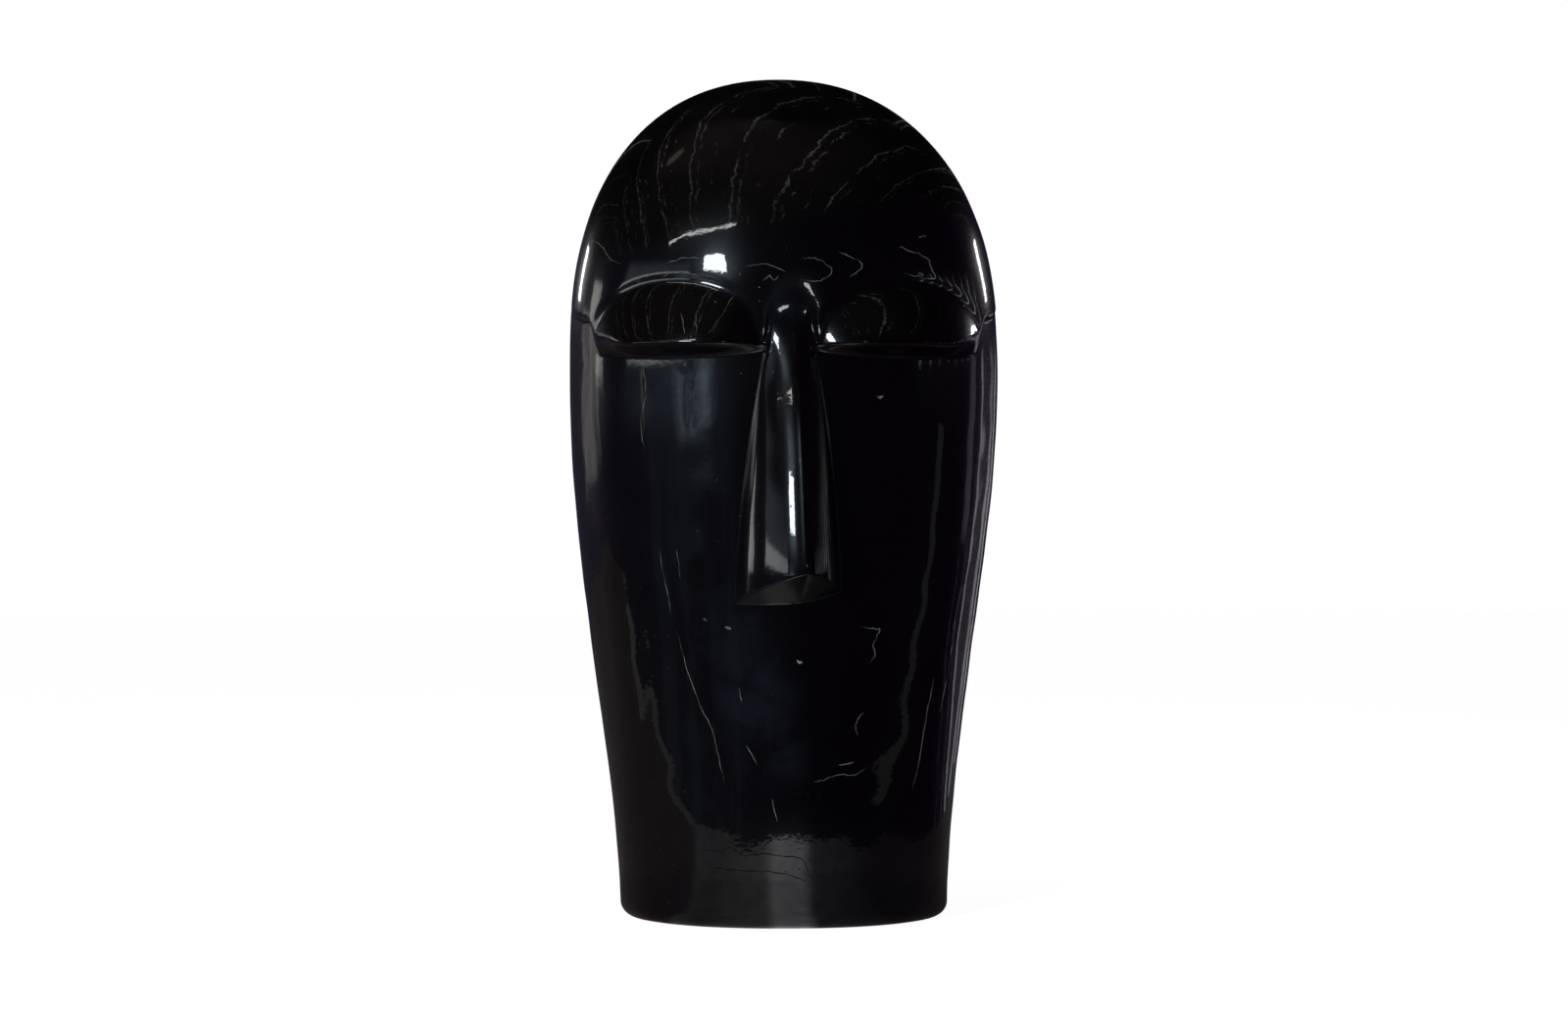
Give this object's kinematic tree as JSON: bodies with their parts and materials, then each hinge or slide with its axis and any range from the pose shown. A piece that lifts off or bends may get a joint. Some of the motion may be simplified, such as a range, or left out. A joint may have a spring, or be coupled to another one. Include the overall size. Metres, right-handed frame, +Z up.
{
  "type": "face sculpture",
  "caption": "Standing head sculpture with a domed crown, closed domed lids, a wedge nose, no mouth, plain cheeks and a flat underside to stand on.",
  "frame": {"origin": "centre of the flat underside", "axes": "+Z up from the underside to the crown, -Y the way the face looks, +X the head's own left"},
  "size_m": [0.3143, 0.3084, 0.609],
  "materials": {
    "lacquer": "high gloss black lacquer over a resin casting"
  },
  "bodies": {
    "root": {"head": "lacquer"}
  },
  "joints": []
}
